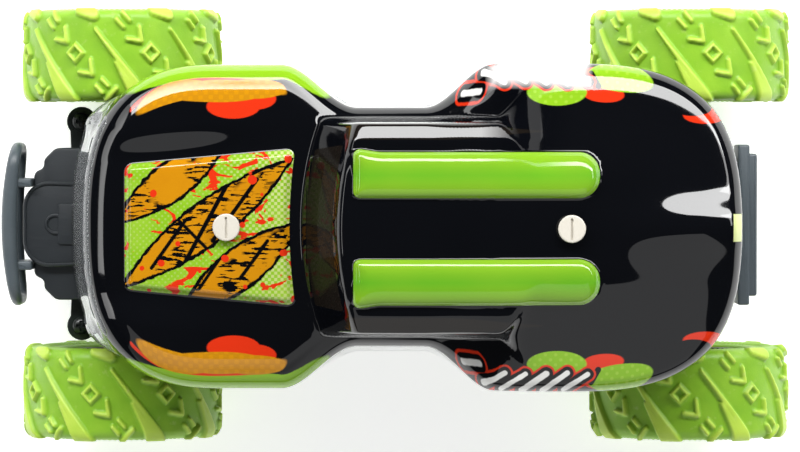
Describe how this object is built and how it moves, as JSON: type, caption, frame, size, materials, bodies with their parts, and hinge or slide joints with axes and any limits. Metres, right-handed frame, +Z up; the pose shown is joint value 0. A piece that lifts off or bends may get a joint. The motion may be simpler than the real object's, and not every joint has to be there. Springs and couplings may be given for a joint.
{
  "type": "remote controlled stunt car",
  "caption": "Small remote-controlled stunt car: lift-off painted shell on posts, fat treaded wheels, sprung steering front axle and a swinging rear gearbox.",
  "frame": {"origin": "centre of the footprint, on the ground under the wheels", "axes": "+X towards the front bumper, +Y to the car's left, +Z up"},
  "size_m": [0.2389, 0.13, 0.1153],
  "materials": {
    "shell_paint": "gloss black paint under clear polycarbonate, with printed amber, lime and red artwork",
    "shell_clear": "clear trimmed polycarbonate edge",
    "shell_print": "printed graphics, gloss",
    "shell_rib": "lime green gloss",
    "shell_glass": "dark smoked window print, gloss",
    "tyre_rubber": "soft lime rubber, slightly glossy",
    "rim_plastic": "satin dark grey",
    "chassis_plastic": "fine-grained moulded slate grey",
    "bumper_plastic": "fine-grained moulded lighter slate grey",
    "black_plastic": "moulded black, satin",
    "white_plastic": "off-white moulded",
    "steel": "bright turned steel",
    "brass": "turned brass",
    "circuit_board": "green board with a lacquer",
    "battery_wrap": "blue shrink wrap"
  },
  "bodies": {
    "chassis": {"battery_door": "chassis_plastic", "battery_door_screw": "steel", "battery_pack": "battery_wrap", "chassis_cover": "chassis_plastic", "chassis_tub": "chassis_plastic", "circuit_board": "circuit_board", "front_axle_plate": "chassis_plastic", "front_body_post": "chassis_plastic", "front_bulkhead": "chassis_plastic", "front_bumper_bar": "bumper_plastic", "front_left_spring": "steel", "front_right_spring": "steel", "rear_body_post": "chassis_plastic", "rear_bumper": "bumper_plastic", "rear_frame": "chassis_plastic", "rear_left_spring": "steel", "rear_right_spring": "steel", "steering_cover": "chassis_plastic", "steering_servo": "black_plastic", "swing_pin": "steel"},
    "shell": {"body_shell": "shell_paint"},
    "front_lock": {"front_lock": "white_plastic"},
    "rear_lock": {"rear_lock": "white_plastic"},
    "power_switch": {"power_switch": "black_plastic"},
    "left_kingpin": {"left_kingpin": "steel"},
    "right_kingpin": {"right_kingpin": "steel"},
    "left_knuckle": {"left_knuckle": "black_plastic", "left_tie_screw": "steel"},
    "right_knuckle": {"right_knuckle": "black_plastic", "right_tie_screw": "steel"},
    "tie_bar": {"tie_bar": "black_plastic"},
    "steering_lever": {"steering_lever": "black_plastic"},
    "front_left_wheel": {"front_left_tyre": "tyre_rubber", "front_left_rim": "rim_plastic", "front_left_nut": "steel"},
    "front_right_wheel": {"front_right_tyre": "tyre_rubber", "front_right_rim": "rim_plastic", "front_right_nut": "steel"},
    "rear_unit": {"gearbox_lower": "black_plastic", "gearbox_upper": "black_plastic", "drive_motor": "steel", "idler_shaft": "steel", "axle_bush_left": "brass", "axle_bush_right": "brass"},
    "rear_axle": {"rear_axle_shaft": "steel", "axle_gear": "white_plastic", "rear_left_tyre": "tyre_rubber", "rear_left_rim": "rim_plastic", "rear_left_nut": "steel", "rear_right_tyre": "tyre_rubber", "rear_right_rim": "rim_plastic", "rear_right_nut": "steel"},
    "idler": {"idler_gear": "white_plastic"},
    "motor_shaft": {"motor_pinion": "brass"}
  },
  "joints": [
    {"name": "shell_lift", "type": "slide", "parent": "chassis", "child": "shell", "axis": [0, 0, 1], "range_m": [0, 0.06]},
    {"name": "front_lock_turn", "type": "hinge", "parent": "shell", "child": "front_lock", "pos_m": [0.05, 0, 0.09], "axis": [0, 0, 1], "range_deg": [0, 90]},
    {"name": "rear_lock_turn", "type": "hinge", "parent": "shell", "child": "rear_lock", "pos_m": [-0.05, 0, 0.11], "axis": [0, 0, 1], "range_deg": [0, 90]},
    {"name": "power_switch_slide", "type": "slide", "parent": "chassis", "child": "power_switch", "axis": [1, 0, 0], "range_m": [0, 0.004]},
    {"name": "left_travel", "type": "slide", "parent": "chassis", "child": "left_kingpin", "axis": [0, 0, 1], "range_m": [0, 0.004], "stiffness_N_per_m": 500, "springref_m": -0.005, "deforming": ["front_left_spring"]},
    {"name": "right_travel", "type": "slide", "parent": "chassis", "child": "right_kingpin", "axis": [0, 0, 1], "range_m": [0, 0.004], "stiffness_N_per_m": 500, "springref_m": -0.005, "deforming": ["front_right_spring"]},
    {"name": "left_steer", "type": "hinge", "parent": "left_kingpin", "child": "left_knuckle", "pos_m": [0.084, 0.031, 0.0305], "axis": [0, 0, 1], "range_deg": [-18, 18]},
    {"name": "right_steer", "type": "hinge", "parent": "right_kingpin", "child": "right_knuckle", "pos_m": [0.084, -0.031, 0.0305], "axis": [0, 0, 1], "range_deg": [-18, 18]},
    {"name": "tie_bar_slide", "type": "slide", "parent": "chassis", "child": "tie_bar", "axis": [0, 1, 0], "range_m": [-0.0038, 0.0038]},
    {"name": "lever_turn", "type": "hinge", "parent": "chassis", "child": "steering_lever", "pos_m": [0.084, 0, 0.033], "axis": [0, 0, 1], "range_deg": [-18, 18]},
    {"name": "front_left_spin", "type": "hinge", "parent": "left_knuckle", "child": "front_left_wheel", "pos_m": [0.084, 0.051, 0.0305], "axis": [0, 1, 0], "continuous": true},
    {"name": "front_right_spin", "type": "hinge", "parent": "right_knuckle", "child": "front_right_wheel", "pos_m": [0.084, -0.051, 0.0305], "axis": [0, 1, 0], "continuous": true},
    {"name": "rear_swing", "type": "hinge", "parent": "chassis", "child": "rear_unit", "pos_m": [-0.0475, 0, 0.026], "axis": [0, 1, 0], "range_deg": [0, 6.5], "stiffness_Nm_per_rad": 1.1, "springref_deg": -12.61, "deforming": ["rear_left_spring", "rear_right_spring"]},
    {"name": "rear_axle_spin", "type": "hinge", "parent": "rear_unit", "child": "rear_axle", "pos_m": [-0.089, 0, 0.0305], "axis": [0, 1, 0], "continuous": true},
    {"name": "idler_spin", "type": "hinge", "parent": "rear_unit", "child": "idler", "pos_m": [-0.07625, 0, 0.0305], "axis": [0, 1, 0], "continuous": true},
    {"name": "motor_spin", "type": "hinge", "parent": "rear_unit", "child": "motor_shaft", "pos_m": [-0.0641, 0, 0.0305], "axis": [0, 1, 0], "continuous": true}
  ],
  "couplings": [
    {"joint": "right_steer", "follows": "left_steer", "ratio": 1},
    {"joint": "tie_bar_slide", "follows": "left_steer", "m_per_rad": 0.012},
    {"joint": "lever_turn", "follows": "left_steer", "ratio": 1},
    {"joint": "idler_spin", "follows": "rear_axle_spin", "ratio": -2.5},
    {"joint": "motor_spin", "follows": "rear_axle_spin", "ratio": 7.5}
  ]
}
